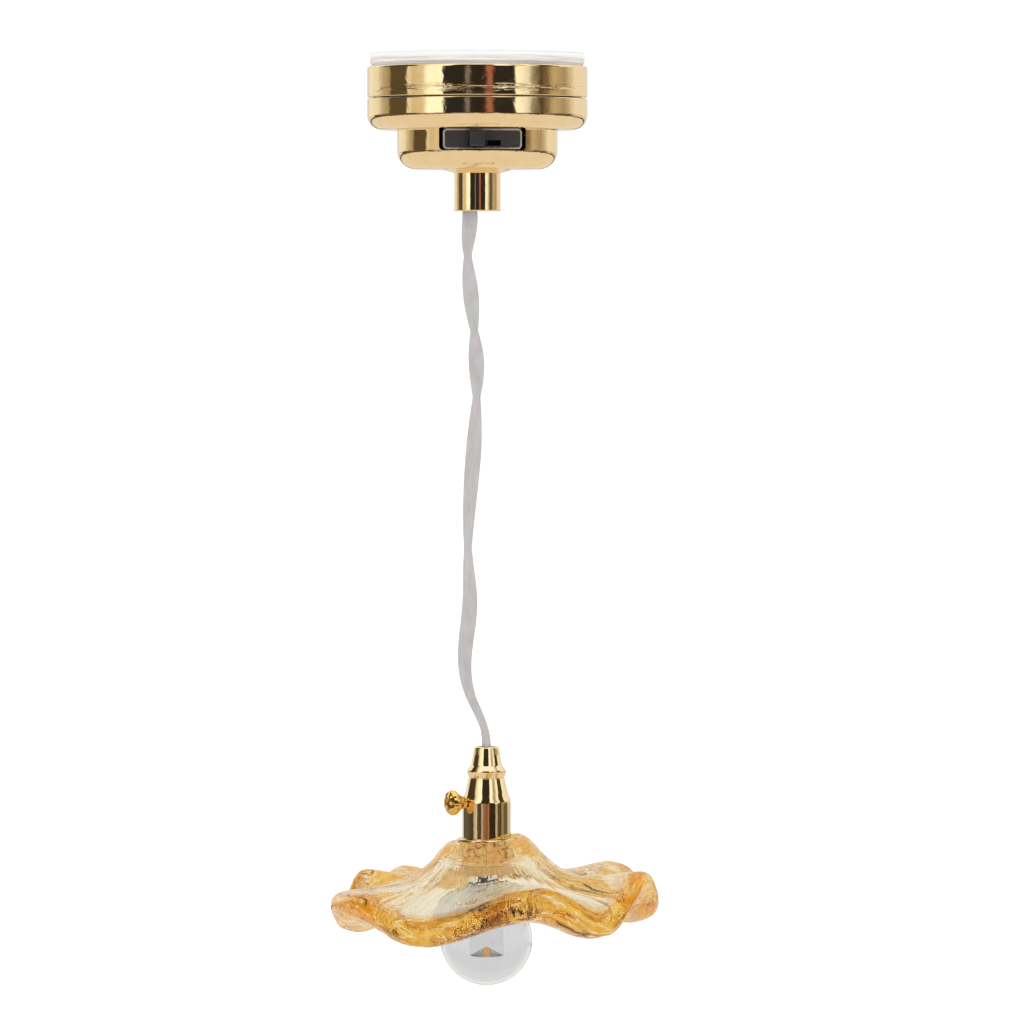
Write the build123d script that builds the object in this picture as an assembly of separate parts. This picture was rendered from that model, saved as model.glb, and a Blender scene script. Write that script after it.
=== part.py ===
from build123d import *
import os
from math import cos, pi, radians, sin, tan

# A 1:12 battery pendant lamp for a dolls house.  Millimetres, +Z up.  The origin is the centre of the
# face that sticks to the ceiling, and everything hangs below it.  The front, with the switch, faces -Y.

# --- ceiling mount -------------------------------------------------------------------------------
LINER_T = 0.15                  # paper over the adhesive
PAD_R = 13.7
PAD_BOTTOM = -1.75
CANOPY_R = 14.0
SHEET = 0.7                     # wall of every pressed canopy part
PLATE_BOTTOM = -5.7
SEAM = 0.15                     # gap between ceiling plate and canopy shell
BAYONET_AT = (30, 150, 270)     # degrees round the canopy
BAYONET_WIDTH = 24
TAB_INNER_R = 12.4
TAB_BOTTOM, TAB_TOP = -5.5, -4.9

# --- canopy --------------------------------------------------------------------------------------
FRONT_TURN = 4.5                # the switch sits this many degrees right of the front
SHELL_TOP = PLATE_BOTTOM - SEAM
STEP_Z = -9.8                   # underside of the wide tier
LOWER_R = 10.2
SHELL_BOTTOM = -14.8
NECK_R, NECK_BOTTOM = 4.5, -15.25
FLOOR_Z = -14.1                 # inside face of the shell's bottom
COLLAR_R, COLLAR_BORE_R = 2.95, 2.4
COLLAR_BOTTOM = -20.1
COLLAR_HOLE_R = 1.25            # keeps the knot from pulling through
TRAY_R = 13.25
TRAY_FLOOR = -8.1               # top face of the tray's floor
LUG_R = 13.1
LUG_BOTTOM, LUG_TOP = -4.4, -3.7
CELL_R, CELL_T = 8.0, 3.2       # a 1632 coin cell
CELL_BOTTOM = -7.6
STRIP_T = 0.2                   # spring strip of the contacts

# --- slide switch --------------------------------------------------------------------------------
WINDOW_HALF, WINDOW_BOTTOM = 5.47, -12.5
BODY_HALF, BODY_BOTTOM, BODY_TOP = 4.75, -12.17, -10.03
BODY_FRONT, BODY_BACK = -9.0, -5.0
FRAME_T = 0.2
PIN_X = (-2.0, 0.0, 2.0)
PIN_Z = -11.1
SWITCH_TRAVEL = 2.0
SLOT_LEFT, SLOT_BOTTOM, SLOT_TOP = -1.85, -11.95, -11.25

# --- cord ----------------------------------------------------------------------------------------
CORD_D = 2.0                    # two strands of 1 mm laid side by side and twisted
MOUTH_X = -0.95                 # the cord leans on the left of the collar's mouth
CORD_TOP = -19.6
LAMP_X = 1.15                   # axis of the lamp below the cord
CORD_BOTTOM = -88.9
CORD_ROUTE = [
    (MOUTH_X, 0.0, CORD_TOP),
    (MOUTH_X, 0.0, -21.8),
    (-1.35, 0.10, -25.5),
    (-0.70, 0.25, -32.0),
    (0.05, 0.30, -40.5),
    (-0.35, 0.20, -49.0),
    (-1.00, -0.05, -57.0),
    (-1.30, -0.20, -63.5),
    (-0.80, -0.15, -70.0),
    (-1.80, -0.05, -77.0),
    (-1.25, 0.00, -81.2),
    (0.50, 0.00, -84.8),
    (LAMP_X, 0.00, -86.9),
    (LAMP_X, 0.00, CORD_BOTTOM),
]

# --- socket --------------------------------------------------------------------------------------
CAP_TOP, CAP_BOTTOM = -88.3, -92.3
CAP_MOUTH_R = 1.15
BARREL_R, BARREL_BORE_R = 3.1, 2.6
BARREL_TOP, BARREL_BOTTOM = -95.15, -100.0
KEY_Z, KEY_TURN = -95.3, 30.0   # the key points left, turned this far towards the front
KEY_STEM_R, KEY_FIT = 0.45, 0.05
FLANGE_R, FLANGE_T = 3.75, 0.45
NIPPLE_R, NIPPLE_BORE_R, NIPPLE_BOTTOM = 2.4, 1.9, -105.5

# --- shade ---------------------------------------------------------------------------------------
SHADE_HOLE_R = 2.6
SHADE_TOP = BARREL_BOTTOM - FLANGE_T
SHADE_CAP_R = 1.0                # the skin's profile starts here, inside what the hole takes away
SHADE_OUTSIDE = [(SHADE_CAP_R, -100.45), (2.6, -100.45), (3.95, -100.45), (4.5, -100.4), (5.2, -100.7),
                 (6.1, -101.55), (7.1, -102.7), (8.3, -103.75), (10.0, -104.75), (12.2, -105.5),
                 (15.0, -106.0), (18.0, -106.3), (19.9, -106.7)]
SHADE_RIM = [(20.7, -107.4), (20.9, -108.25), (20.6, -109.15), (19.9, -109.9)]
SHADE_INSIDE = [(18.6, -110.5), (17.0, -110.7), (14.8, -110.3), (12.4, -109.2), (10.2, -107.9),
                (8.2, -106.4), (6.5, -105.1), (5.3, -104.0), (4.4, -103.6), (2.6, -103.6),
                (SHADE_CAP_R, -103.6)]
RUFFLE = [                      # degrees from the front, to the right, and the rise of the rim there
    (19, 2.0), (46, -1.5), (70, 2.6), (95, -1.1), (129, 2.05), (151, -1.9), (173, 1.9), (196, -1.9),
    (215, 2.0), (225, 0.95), (237, 2.1), (252, -1.9), (275, 0.4), (303, 1.0), (333, -1.75)]
RUFFLE_FROM_R, RUFFLE_TO_R = 7.0, 20.0
STATIONS = 108                  # profiles round the shade that its skin passes through
TILT = 0.035                    # the right of the shade rides higher
SHOULDER = 0.85                 # how much further the right shoulder rises beside the flange
NUT_R, NUT_TOP, NUT_BOTTOM = 3.9, -103.65, -105.3
NUT_TEETH, NUT_TOOTH = 40, 0.18

# --- bulb ----------------------------------------------------------------------------------------
BALL_R, BALL_WALL, BALL_Z = 5.85, 0.4, -113.0
GUIDE_R, GUIDE_TOP, GUIDE_BOTTOM = 2.15, -105.55, -115.05     # clear rod that hangs inside the ball
GUIDE_CONE_R, GUIDE_CONE_H = 2.0, 1.25
GUIDE_BORE_R, GUIDE_BORE_BOTTOM = 1.52, -110.5
LED_R, LED_FLANGE_R = 1.5, 1.85
LED_TOP, LED_SHOULDER, LED_TIP = -104.45, -105.5, -110.35
LEAD_X, LEAD_HALF, LEAD_TOP = 0.525, 0.225, -98.5
ANVIL_TOP, ANVIL_BOTTOM = -106.3, -107.2
PHOSPHOR_R = 0.42
STRAND_R = 0.3


# --- helpers -------------------------------------------------------------------------------------
def disc(radius, bottom, top, x=0.0):
    """A cylinder about the vertical line at x."""
    return Pos(x, 0, (bottom + top) / 2) * Cylinder(radius, top - bottom)


def ring(outer, inner, bottom, top, x=0.0):
    return disc(outer, bottom, top, x) - disc(inner, bottom, top, x)


def block(x0, x1, y0, y1, z0, z1):
    return Pos((x0 + x1) / 2, (y0 + y1) / 2, (z0 + z1) / 2) * Box(x1 - x0, y1 - y0, z1 - z0)


def lathe(outline, x=0.0):
    """Turn a closed outline of (radius, height, corner radius) about the vertical line at x."""
    points = [(r, 0, z) for r, z, _ in outline]
    line = FilletPolyline(*points, radius=[corner for _, _, corner in outline], close=True)
    return Pos(x, 0, 0) * revolve(make_face(line), Axis.Z)


def lug(inner, outer, bottom, top, middle):
    """A bayonet lug or tab: a short stretch of ring centred at an angle."""
    section = make_face(Polyline((inner, 0, bottom), (outer, 0, bottom), (outer, 0, top), (inner, 0, top),
                                 close=True))
    return Rot(0, 0, middle - BAYONET_WIDTH / 2) * revolve(section, Axis.Z, BAYONET_WIDTH)


def bend_radii(route):
    """The largest arc that each corner's two runs allow."""
    radii = []
    for before, here, after in zip(route, route[1:], route[2:]):
        run_in, run_out = Vector(here) - Vector(before), Vector(after) - Vector(here)
        turn = radians(run_in.get_angle(run_out))
        radii.append(0.45 * min(run_in.length, run_out.length) / tan(turn / 2))
    return radii


def tube(route, radius):
    """A round tube along straight runs joined by arcs, and the length of its centre line."""
    path = FilletPolyline(*route, radius=bend_radii(route))
    start = Plane(origin=path @ 0, z_dir=path % 0)
    return sweep(start * Circle(radius), path=path), path.length


def turned(shape):
    """Carry a canopy piece round to where the switch faces."""
    return Rot(0, 0, FRONT_TURN) * shape


def one(shape):
    """The single solid of a finished piece."""
    solids = shape.solids()
    assert len(solids) == 1, f"expected one solid, found {len(solids)}"
    return solids[0]


# --- ceiling mount -------------------------------------------------------------------------------
def release_liner():
    return disc(PAD_R, -LINER_T, 0)


def adhesive_pad():
    return disc(PAD_R, PAD_BOTTOM, -LINER_T)


def ceiling_plate():
    wall = CANOPY_R - SHEET
    cup = lathe([(0, PAD_BOTTOM, 0), (CANOPY_R, PAD_BOTTOM, 0.3), (CANOPY_R, PLATE_BOTTOM, 0.12),
                 (wall, PLATE_BOTTOM, 0), (wall, PAD_BOTTOM - SHEET, 0), (0, PAD_BOTTOM - SHEET, 0)])
    for middle in BAYONET_AT:
        cup += lug(TAB_INNER_R, wall + 0.1, TAB_BOTTOM, TAB_TOP, middle + FRONT_TURN)
    return cup


# --- canopy --------------------------------------------------------------------------------------
def canopy_shell():
    shell = lathe([
        (CANOPY_R, SHELL_TOP, 0.12), (CANOPY_R, STEP_Z, 1.9), (LOWER_R, STEP_Z, 0.1),
        (LOWER_R, SHELL_BOTTOM, 2.4), (NECK_R, SHELL_BOTTOM, 0.8), (COLLAR_R, NECK_BOTTOM, 0),
        (COLLAR_R, FLOOR_Z, 0), (LOWER_R - SHEET, FLOOR_Z, 1.7), (LOWER_R - SHEET, STEP_Z + SHEET, 0),
        (CANOPY_R - SHEET, STEP_Z + SHEET, 0), (CANOPY_R - SHEET, SHELL_TOP, 0)])
    window = block(-WINDOW_HALF, WINDOW_HALF, -LOWER_R - 1, -LOWER_R + 5, WINDOW_BOTTOM, STEP_Z)
    corners = window.edges().filter_by(Axis.Y).group_by(Axis.Z)[0]
    return turned(shell - fillet(corners, 0.5))


def collar():
    flange_r, hole_bottom = COLLAR_R + 0.95, FLOOR_Z - 1.1
    return lathe([
        (COLLAR_HOLE_R, FLOOR_Z + 0.5, 0), (flange_r, FLOOR_Z + 0.5, 0), (flange_r, FLOOR_Z, 0),
        (COLLAR_R, FLOOR_Z, 0), (COLLAR_R, COLLAR_BOTTOM, 0.15), (COLLAR_BORE_R, COLLAR_BOTTOM, 0.15),
        (COLLAR_BORE_R, hole_bottom, 0), (COLLAR_HOLE_R, hole_bottom, 0)])


def battery_tray():
    tray = disc(TRAY_R, STEP_Z + SHEET, TRAY_FLOOR)
    tray += ring(12.2, 11.2, TRAY_FLOOR, LUG_TOP)
    tray += ring(CELL_R + 1.15, CELL_R + 0.15, TRAY_FLOOR, CELL_BOTTOM + CELL_T)
    for middle in BAYONET_AT:
        tray += lug(12.1, LUG_R, LUG_BOTTOM, LUG_TOP, middle)
    tray -= block(-9.2, -8.1, -1.2, 1.2, TRAY_FLOOR, CELL_BOTTOM + CELL_T + 0.2)
    tray -= block(-9.0, -8.6, -1.1, 1.1, -9.3, -8.0)
    tray -= block(6.7, 7.1, -1.35, 1.35, -9.3, -8.0)
    return turned(tray)


def coin_cell():
    top = CELL_BOTTOM + CELL_T
    return turned(lathe([(0, top, 0), (CELL_R, top, 0.3), (CELL_R, CELL_BOTTOM + 0.25, 0.2),
                         (7.1, CELL_BOTTOM + 0.25, 0), (6.9, CELL_BOTTOM, 0.1), (0, CELL_BOTTOM, 0)]))


def contact_positive():
    """A strip over the top of the cell, with a leg down through the tray."""
    under = CELL_BOTTOM + CELL_T + 0.1
    strip = block(-8.9, 1.2, -1.0, 1.0, under, under + STRIP_T)
    leg = block(-8.9, -8.9 + STRIP_T, -1.0, 1.0, -10.6, under + STRIP_T)
    return turned(strip + leg + disc(0.8, under - 0.1, under))


def contact_negative():
    """A strip on the tray's floor, with a raised button and a leg down through the tray."""
    strip = block(-1.6, 7.0, -1.25, 1.25, TRAY_FLOOR, TRAY_FLOOR + STRIP_T)
    leg = block(7.0 - STRIP_T, 7.0, -1.25, 1.25, -10.6, TRAY_FLOOR + STRIP_T)
    return turned(strip + leg + disc(1.2, TRAY_FLOOR + STRIP_T, CELL_BOTTOM))


# --- slide switch --------------------------------------------------------------------------------
def switch_pins():
    return [block(x - 0.25, x + 0.25, BODY_BACK - 0.85, BODY_BACK + 1.6, PIN_Z - 0.15, PIN_Z + 0.15)
            for x in PIN_X]


def switch_body_blank():
    body = block(-BODY_HALF, BODY_HALF, BODY_FRONT, BODY_BACK, BODY_BOTTOM, BODY_TOP)
    return fillet(body.edges().filter_by(Axis.Y), 0.3)


def switch_housing():
    housing = switch_body_blank()
    housing -= block(-4.0, 4.0, BODY_FRONT + 0.7, BODY_BACK - 0.5, -12.0, -10.25)
    housing -= block(SLOT_LEFT, SWITCH_TRAVEL + 0.3, BODY_FRONT - 0.1, BODY_FRONT + 0.8,
                     SLOT_BOTTOM, SLOT_TOP)
    for pin in switch_pins():
        housing -= pin
    return turned(housing)


def switch_frame():
    """The pressed steel sleeve round the switch."""
    sleeve = block(-BODY_HALF - FRAME_T, BODY_HALF + FRAME_T, BODY_FRONT + 0.1, BODY_BACK - 0.2,
                   BODY_BOTTOM - FRAME_T, BODY_TOP + FRAME_T)
    return turned(fillet(sleeve.edges().filter_by(Axis.Y), 0.5) - switch_body_blank())


def switch_terminals():
    return [turned(pin) for pin in switch_pins()]


def switch_slider():
    head = block(-1.75, 0.15, BODY_FRONT - 2.0, BODY_FRONT - 0.05, -12.0, -10.05)
    head = fillet(head.edges().group_by(Axis.Y)[0], 0.15)
    stem = block(-1.6, 0.0, BODY_FRONT - 0.05, BODY_FRONT + 0.8, -11.85, -11.35)
    base = block(-2.3, 0.7, BODY_FRONT + 0.8, BODY_FRONT + 2.6, -11.9, -10.35)
    return turned(head + stem + base)


def switch_wiper():
    return turned(block(-1.9, 0.3, BODY_FRONT + 2.6, BODY_FRONT + 3.05, PIN_Z - 0.2, PIN_Z + 0.2))


# --- wiring in the canopy ------------------------------------------------------------------------
def canopy_lead(route):
    return turned(tube(route, 0.35)[0])


def lead_positive():
    return canopy_lead([(-8.8, 0, -10.6), (-8.75, 0.0, -11.9), (-6.8, -1.4, -13.0), (-3.2, -2.6, -12.8),
                        (-0.6, -2.3, -11.6), (0, -3.35, PIN_Z)])


def lead_switched():
    return canopy_lead([(2.0, -3.35, PIN_Z), (2.05, -2.4, -10.95), (1.3, -1.1, -10.1), (0.5, -0.3, -10.4),
                        (0.5, -0.3, -11.2)])


def lead_negative():
    return canopy_lead([(6.9, 0, -10.6), (6.85, 0.1, -11.7), (4.6, 0.9, -12.0), (2.2, 1.1, -10.8),
                        (0.4, 0.9, -10.0), (-0.5, 0.4, -10.4), (-0.5, 0.4, -11.2)])


def cord_knot():
    """The knot that holds the cord above the collar's hole."""
    return turned(lathe([(0, -11.25, 0), (1.7, -11.25, 0.7), (1.95, -12.4, 0.9), (1.6, -13.55, 0.6),
                         (0, -13.55, 0)]))


def cord_inner():
    """The cord from the knot down to just above the collar's mouth."""
    return tube([(0, 0, -13.6), (0, 0, -15.3), (MOUTH_X, 0, -17.1), (MOUTH_X, 0, -18.3)], CORD_D / 2)[0]


# --- cord ----------------------------------------------------------------------------------------
def cord_top():
    """The cord inside the collar's mouth, which leans with it."""
    return disc(CORD_D / 2, CORD_TOP, -18.3, MOUTH_X)


def cord():
    """The free cord, from the collar's mouth to the lamp's cap."""
    solid, length = tube(CORD_ROUTE, CORD_D / 2)
    expected = pi * (CORD_D / 2) ** 2 * length
    print("cord: arcs", [round(r, 1) for r in bend_radii(CORD_ROUTE)], "mm")
    print(f"cord: length {length:.2f} mm, volume {solid.volume:.2f}, section x length {expected:.2f} mm3")
    return solid


def cord_tail():
    """The end of the cord inside the cap and the top of the socket."""
    return disc(CORD_D / 2 - 0.05, -93.0, CORD_BOTTOM, LAMP_X)


def cord_grip():
    """The crimp that carries the lamp's weight."""
    inner = CORD_D / 2 - 0.05
    return lathe([(inner, -89.9, 0), (1.4, -89.9, 0.2), (1.4, -91.2, 0.2), (inner, -91.2, 0)], LAMP_X)


# --- socket --------------------------------------------------------------------------------------
def socket_cap():
    return lathe([
        (CAP_MOUTH_R, CAP_TOP, 0.1), (1.6, CAP_TOP, 0.3), (1.72, -89.3, 1.5), (1.98, -90.65, 0.4),
        (2.52, -91.38, 0.35), (2.26, -92.2, 0.1), (2.3, CAP_BOTTOM, 0.03), (2.05, CAP_BOTTOM, 0),
        (2.05, -91.4, 0), (1.65, -91.4, 0), (1.6, -90.0, 0), (1.32, -88.8, 0),
        (CAP_MOUTH_R, -88.75, 0)], LAMP_X)


def key_direction():
    return Vector(-cos(radians(KEY_TURN)), -sin(radians(KEY_TURN)), 0)


def along_key(outline):
    """Turn an outline of (distance from the lamp's axis, radius) about the key's own axis."""
    section = make_face(Polyline(*[(radius, 0, reach) for reach, radius in outline], close=True))
    return Plane(origin=(LAMP_X, 0, KEY_Z), z_dir=key_direction()) * revolve(section, Axis.Z)


def socket_shell():
    shell = lathe([
        (1.45, -91.5, 0), (2.0, -91.5, 0), (2.0, CAP_BOTTOM, 0), (2.3, CAP_BOTTOM, 0.06),
        (2.72, -94.2, 2.0), (BARREL_R, BARREL_TOP, 1.2), (BARREL_R, BARREL_BOTTOM, 0.08),
        (BARREL_BORE_R, BARREL_BOTTOM, 0), (BARREL_BORE_R, BARREL_TOP, 0.3), (1.45, -92.9, 0.2)],
        LAMP_X)
    hole_r = KEY_STEM_R + KEY_FIT
    return shell - along_key([(1.5, 0), (1.5, hole_r), (BARREL_R + 0.5, hole_r), (BARREL_R + 0.5, 0)])


def key():
    """The turn key: a flange inside the wall, a stem, a flared neck and a button head."""
    return along_key([
        (1.95, 0), (1.95, 0.75), (2.35, 0.75), (2.35, KEY_STEM_R), (3.2, KEY_STEM_R), (3.25, 0.75),
        (3.7, 0.84), (4.15, 1.1), (4.5, 1.42), (4.75, 1.58), (5.1, 1.62), (5.45, 1.4), (5.65, 0.9),
        (5.72, 0)])


def shade_holder():
    """A flange over the shade, with a nipple down through it."""
    return lathe([
        (NIPPLE_BORE_R, BARREL_BOTTOM + 0.8, 0), (BARREL_BORE_R - 0.05, BARREL_BOTTOM + 0.8, 0),
        (BARREL_BORE_R - 0.05, BARREL_BOTTOM, 0), (FLANGE_R, BARREL_BOTTOM, 0.15),
        (FLANGE_R, SHADE_TOP, 0.15), (NIPPLE_R, SHADE_TOP, 0), (NIPPLE_R, NIPPLE_BOTTOM, 0.15),
        (NIPPLE_BORE_R, NIPPLE_BOTTOM, 0)], LAMP_X)


def shade_nut():
    """A knurled ring nut under the shade."""
    teeth = []
    for k in range(2 * NUT_TEETH):
        reach = NUT_R - NUT_TOOTH * (k % 2)
        angle = pi * k / NUT_TEETH
        teeth.append((reach * cos(angle), reach * sin(angle)))
    blank = extrude(make_face(Polyline(*teeth, close=True)), NUT_TOP - NUT_BOTTOM)
    return Pos(LAMP_X, 0, NUT_BOTTOM) * blank - disc(NIPPLE_R + 0.05, NUT_BOTTOM, NUT_TOP, LAMP_X)


# --- shade ---------------------------------------------------------------------------------------
def rim_rise(angle):
    """The rise of the rim at an angle in degrees, easing from each crest to the next trough."""
    knots = [(RUFFLE[-1][0] - 360, RUFFLE[-1][1])] + RUFFLE + [(RUFFLE[0][0] + 360, RUFFLE[0][1])]
    for (a0, rise0), (a1, rise1) in zip(knots, knots[1:]):
        if a0 <= angle <= a1:
            return rise0 + (rise1 - rise0) * (1 - cos(pi * (angle - a0) / (a1 - a0))) / 2
    raise ValueError(angle)


def shade_lift(radius, angle):
    """How far the ruffle and the tilt raise the glass."""
    grown = min(max((radius - RUFFLE_FROM_R) / (RUFFLE_TO_R - RUFFLE_FROM_R), 0.0), 1.1)
    return rim_rise(angle) * grown ** 1.35 + TILT * max(radius - 4.3, 0.0) * sin(radians(angle))


def shoulder_lift(radius, angle):
    """The crown's right shoulder rises just outside the flange and falls away again."""
    near, far = (radius - 3.95) / 0.55, (12.0 - radius) / 7.5
    return SHOULDER * min(max(min(near, far), 0.0), 1.0) * max(sin(radians(angle)), 0.0) ** 0.7


def shade_point(radius, height, angle, outside):
    """A profile point at an angle.  The brim reaches a millimetre further on the right."""
    grown = min(max((radius - 5.0) / 15.0, 0.0), 1.0)
    reach = radius + grown * sin(radians(angle))
    lift = shade_lift(radius, angle) + (shoulder_lift(radius, angle) if outside else 0.0)
    return (LAMP_X + reach * sin(radians(angle)), -reach * cos(radians(angle)), height + lift)


def shade():
    """Ruffled glass: one smooth skin over the outside, rim and inside, drilled for the nipple."""
    profile = SHADE_OUTSIDE + SHADE_RIM + SHADE_INSIDE
    grid = [[shade_point(r, z, 360.0 * (k % STATIONS) / STATIONS, (r, z) in SHADE_OUTSIDE)
             for r, z in profile] for k in range(STATIONS + 1)]
    skin = Face.make_surface_from_array_of_points(grid, tol=0.02, min_deg=3, max_deg=3)
    caps = [Face(Wire([edge])) for edge in skin.edges() if edge.is_closed]
    return Solid(Shell([skin] + caps)) - disc(SHADE_HOLE_R, NIPPLE_BOTTOM, BARREL_BOTTOM, LAMP_X)


# --- bulb ----------------------------------------------------------------------------------------
def bulb_base():
    """The light guide: a clear rod on the LED, with a conical hollow in its lower end."""
    return lathe([
        (GUIDE_BORE_R, GUIDE_TOP, 0.05), (GUIDE_R, GUIDE_TOP, 0.1), (GUIDE_R, GUIDE_BOTTOM, 0.05),
        (GUIDE_CONE_R, GUIDE_BOTTOM, 0), (0, GUIDE_BOTTOM + GUIDE_CONE_H, 0), (0, GUIDE_BORE_BOTTOM, 0),
        (GUIDE_BORE_R, GUIDE_BORE_BOTTOM, 0.7)], LAMP_X)


def bulb_globe():
    """A hollow clear ball, open at the top where the light guide passes."""
    ball = Sphere(BALL_R) - Sphere(BALL_R - BALL_WALL)
    return Pos(LAMP_X, 0, BALL_Z) * ball - disc(GUIDE_R + 0.03, BALL_Z, BALL_Z + BALL_R + 1, LAMP_X)


def led_leads():
    """Two square leads, one of them ending in the anvil that carries the chip."""
    post = block(LAMP_X - LEAD_X - LEAD_HALF, LAMP_X - LEAD_X + LEAD_HALF, -LEAD_HALF, LEAD_HALF,
                 ANVIL_TOP - 0.2, LEAD_TOP)
    lead = block(LAMP_X + LEAD_X - LEAD_HALF, LAMP_X + LEAD_X + LEAD_HALF, -LEAD_HALF, LEAD_HALF,
                 ANVIL_TOP, LEAD_TOP)
    anvil = block(LAMP_X - 0.6, LAMP_X + 0.8, -0.45, 0.45, ANVIL_BOTTOM, ANVIL_TOP)
    return [post, lead + anvil]


def led_phosphor():
    dome = Pos(LAMP_X, 0, ANVIL_BOTTOM) * Sphere(PHOSPHOR_R)
    return dome & disc(1.0, ANVIL_BOTTOM - 1.0, ANVIL_BOTTOM, LAMP_X)


def led_body():
    """Clear resin with a domed tip, cast round the leads."""
    body = lathe([(0, LED_TOP, 0), (LED_FLANGE_R, LED_TOP, 0.05), (LED_FLANGE_R, LED_SHOULDER, 0.05),
                  (LED_R, LED_SHOULDER, 0), (LED_R, LED_TIP, 1.2), (0, LED_TIP, 0)], LAMP_X)
    for piece in led_leads():
        body -= piece
    return body - led_phosphor()


def strand_tails():
    return [disc(STRAND_R, LEAD_TOP + 0.05, -93.0, LAMP_X + side * LEAD_X) for side in (-1, 1)]


def heat_shrinks():
    return [ring(0.5, 0.33, -101.5, -98.0, LAMP_X + side * LEAD_X) for side in (-1, 1)]


PIECES = [
    release_liner, adhesive_pad, ceiling_plate,
    canopy_shell, collar, battery_tray, coin_cell, contact_positive, contact_negative,
    switch_housing, switch_frame, switch_terminals, switch_slider, switch_wiper,
    lead_positive, lead_switched, lead_negative, cord_knot, cord_inner,
    cord_top, cord, cord_tail, cord_grip,
    socket_cap, socket_shell, key, shade_holder, shade_nut, shade,
    bulb_base, bulb_globe, led_body, led_leads, led_phosphor, strand_tails, heat_shrinks,
]


def main():
    os.makedirs("parts", exist_ok=True)
    for make in PIECES:
        made = make()
        shape = Compound(children=[one(s) for s in made]) if isinstance(made, list) else one(made)
        shape.label = make.__name__
        export_step(shape, f"parts/{make.__name__}.step")


main()
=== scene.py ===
import bmesh
import bpy
from math import cos, pi, radians, sin
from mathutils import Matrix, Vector, noise


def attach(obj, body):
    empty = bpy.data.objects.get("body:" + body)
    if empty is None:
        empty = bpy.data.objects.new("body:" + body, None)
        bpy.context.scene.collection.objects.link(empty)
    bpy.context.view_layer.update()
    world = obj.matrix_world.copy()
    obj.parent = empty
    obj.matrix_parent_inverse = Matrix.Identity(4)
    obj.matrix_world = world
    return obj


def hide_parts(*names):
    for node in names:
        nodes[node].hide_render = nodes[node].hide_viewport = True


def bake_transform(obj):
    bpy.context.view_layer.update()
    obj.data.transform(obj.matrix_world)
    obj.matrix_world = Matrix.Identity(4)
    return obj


# A dolls-house pendant lamp at 1:12.  Lengths are in millimetres here and turned to metres by MM.
MM = 0.001
LAMP_X = 1.15                     # axis of the lamp below the cord

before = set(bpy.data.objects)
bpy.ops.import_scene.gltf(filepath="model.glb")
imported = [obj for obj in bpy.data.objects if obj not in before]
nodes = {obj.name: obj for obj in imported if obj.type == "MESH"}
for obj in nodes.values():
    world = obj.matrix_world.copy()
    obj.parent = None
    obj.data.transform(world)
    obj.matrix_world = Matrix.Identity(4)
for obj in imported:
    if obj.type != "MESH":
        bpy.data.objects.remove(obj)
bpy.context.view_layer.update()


# --- camera --------------------------------------------------------------------------------------
camera = bpy.data.objects.new("camera", bpy.data.cameras.new("camera"))
camera.data.lens, camera.data.sensor_width = 213.8, 36.0
camera.location = (4.4 * MM, -774 * MM, -26.6 * MM)
camera.rotation_euler = (radians(90 - 2.35), 0, 0)
bpy.context.scene.collection.objects.link(camera)
bpy.context.scene.camera = camera


# --- mesh helpers --------------------------------------------------------------------------------
def add_mesh(name, points, faces):
    mesh = bpy.data.meshes.new(name)
    mesh.from_pydata([Vector(p) * MM for p in points], [], faces)
    shape = bmesh.new()
    shape.from_mesh(mesh)
    bmesh.ops.recalc_face_normals(shape, faces=shape.faces)
    shape.to_mesh(mesh)
    shape.free()
    mesh.polygons.foreach_set("use_smooth", [True] * len(mesh.polygons))
    made = bpy.data.objects.new(name, mesh)
    bpy.context.scene.collection.objects.link(made)
    return made


def skin(name, rings, closed=False):
    """A skin over rings of the same number of points, closed to a loop or capped at both ends."""
    count = len(rings[0])
    points = [p for ring in rings for p in ring]
    faces = []
    for i in range(len(rings) if closed else len(rings) - 1):
        low, high = i * count, (i + 1) % len(rings) * count
        for k in range(count):
            k2 = (k + 1) % count
            faces.append((low + k, low + k2, high + k2, high + k))
    if not closed:
        faces.append(tuple(reversed(range(count))))
        faces.append(tuple(range(len(points) - count, len(points))))
    return add_mesh(name, points, faces)


def smooth_line(points, steps):
    """A Catmull-Rom line through a list of tuples, with steps points to each stretch."""
    out = []
    for i in range(len(points) - 1):
        a, b, c, d = (Vector(points[min(max(j, 0), len(points) - 1)]) for j in (i - 1, i, i + 1, i + 2))
        for s in range(steps):
            t = s / steps
            out.append(0.5 * (2 * b + (c - a) * t + (2 * a - 5 * b + 4 * c - d) * t * t
                              + (3 * b - a - 3 * c + d) * t ** 3))
    return out + [Vector(points[-1])]


def clamp(value, low=0.0, high=1.0):
    return min(max(value, low), high)


def ease(value, start, end):
    t = clamp((value - start) / (end - start))
    return t * t * (3 - 2 * t)


# --- cord ----------------------------------------------------------------------------------------
MOUTH_X = -0.95                   # the cord leans on the left of the collar's mouth
CORD_ROUTE = [
    (MOUTH_X, 0.0, -18.3), (MOUTH_X, 0.0, -19.6), (MOUTH_X, 0.0, -21.8), (-1.35, 0.10, -25.5),
    (-0.70, 0.25, -32.0), (0.05, 0.30, -40.5), (-0.35, 0.20, -49.0), (-1.00, -0.05, -57.0),
    (-1.30, -0.20, -63.5), (-0.80, -0.15, -70.0), (-1.80, -0.05, -77.0), (-1.25, 0.00, -81.2),
    (0.50, 0.00, -84.8), (LAMP_X, 0.00, -86.9), (LAMP_X, 0.00, -88.9),
]
# height, and turn of the two strands in degrees: at each multiple of 180 they lie side by
# side to the front
TWIST = [(-18.3, -60), (-21.5, 0), (-25.8, 90), (-30.7, 180), (-35.3, 270), (-39.3, 360), (-43.7, 450),
         (-51.3, 540), (-63.0, 630), (-72.2, 720), (-82.3, 800), (-88.9, 822)]


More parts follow.
